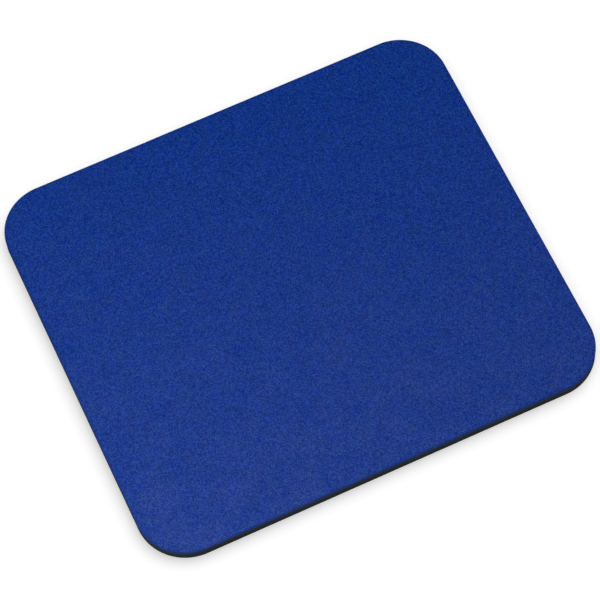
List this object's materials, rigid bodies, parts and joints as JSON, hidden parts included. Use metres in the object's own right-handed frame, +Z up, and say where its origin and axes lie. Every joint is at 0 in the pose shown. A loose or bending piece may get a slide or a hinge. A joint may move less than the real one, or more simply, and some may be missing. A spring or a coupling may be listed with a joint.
{
  "type": "mouse pad",
  "caption": "Flat rectangular mouse pad with rounded corners: a knitted cloth face bonded to a sponge rubber base that grips the desk.",
  "frame": {"origin": "middle of the underside, on the desk", "axes": "+X along the longer side, +Y along the shorter side away from the user, +Z up out of the cloth face"},
  "size_m": [0.2286, 0.2032, 0.006],
  "materials": {
    "knit_cloth": "royal blue fine-gauge polyester knit, matt with a faint sheen",
    "adhesive": "dark hot-melt adhesive film, satin",
    "sponge_rubber": "charcoal closed-cell sponge rubber, matt, with open cells on the cut wall and a moulded non-slip underside"
  },
  "bodies": {
    "root": {"cloth_top": "knit_cloth", "adhesive_film": "adhesive", "foam_base": "sponge_rubber"}
  },
  "joints": []
}
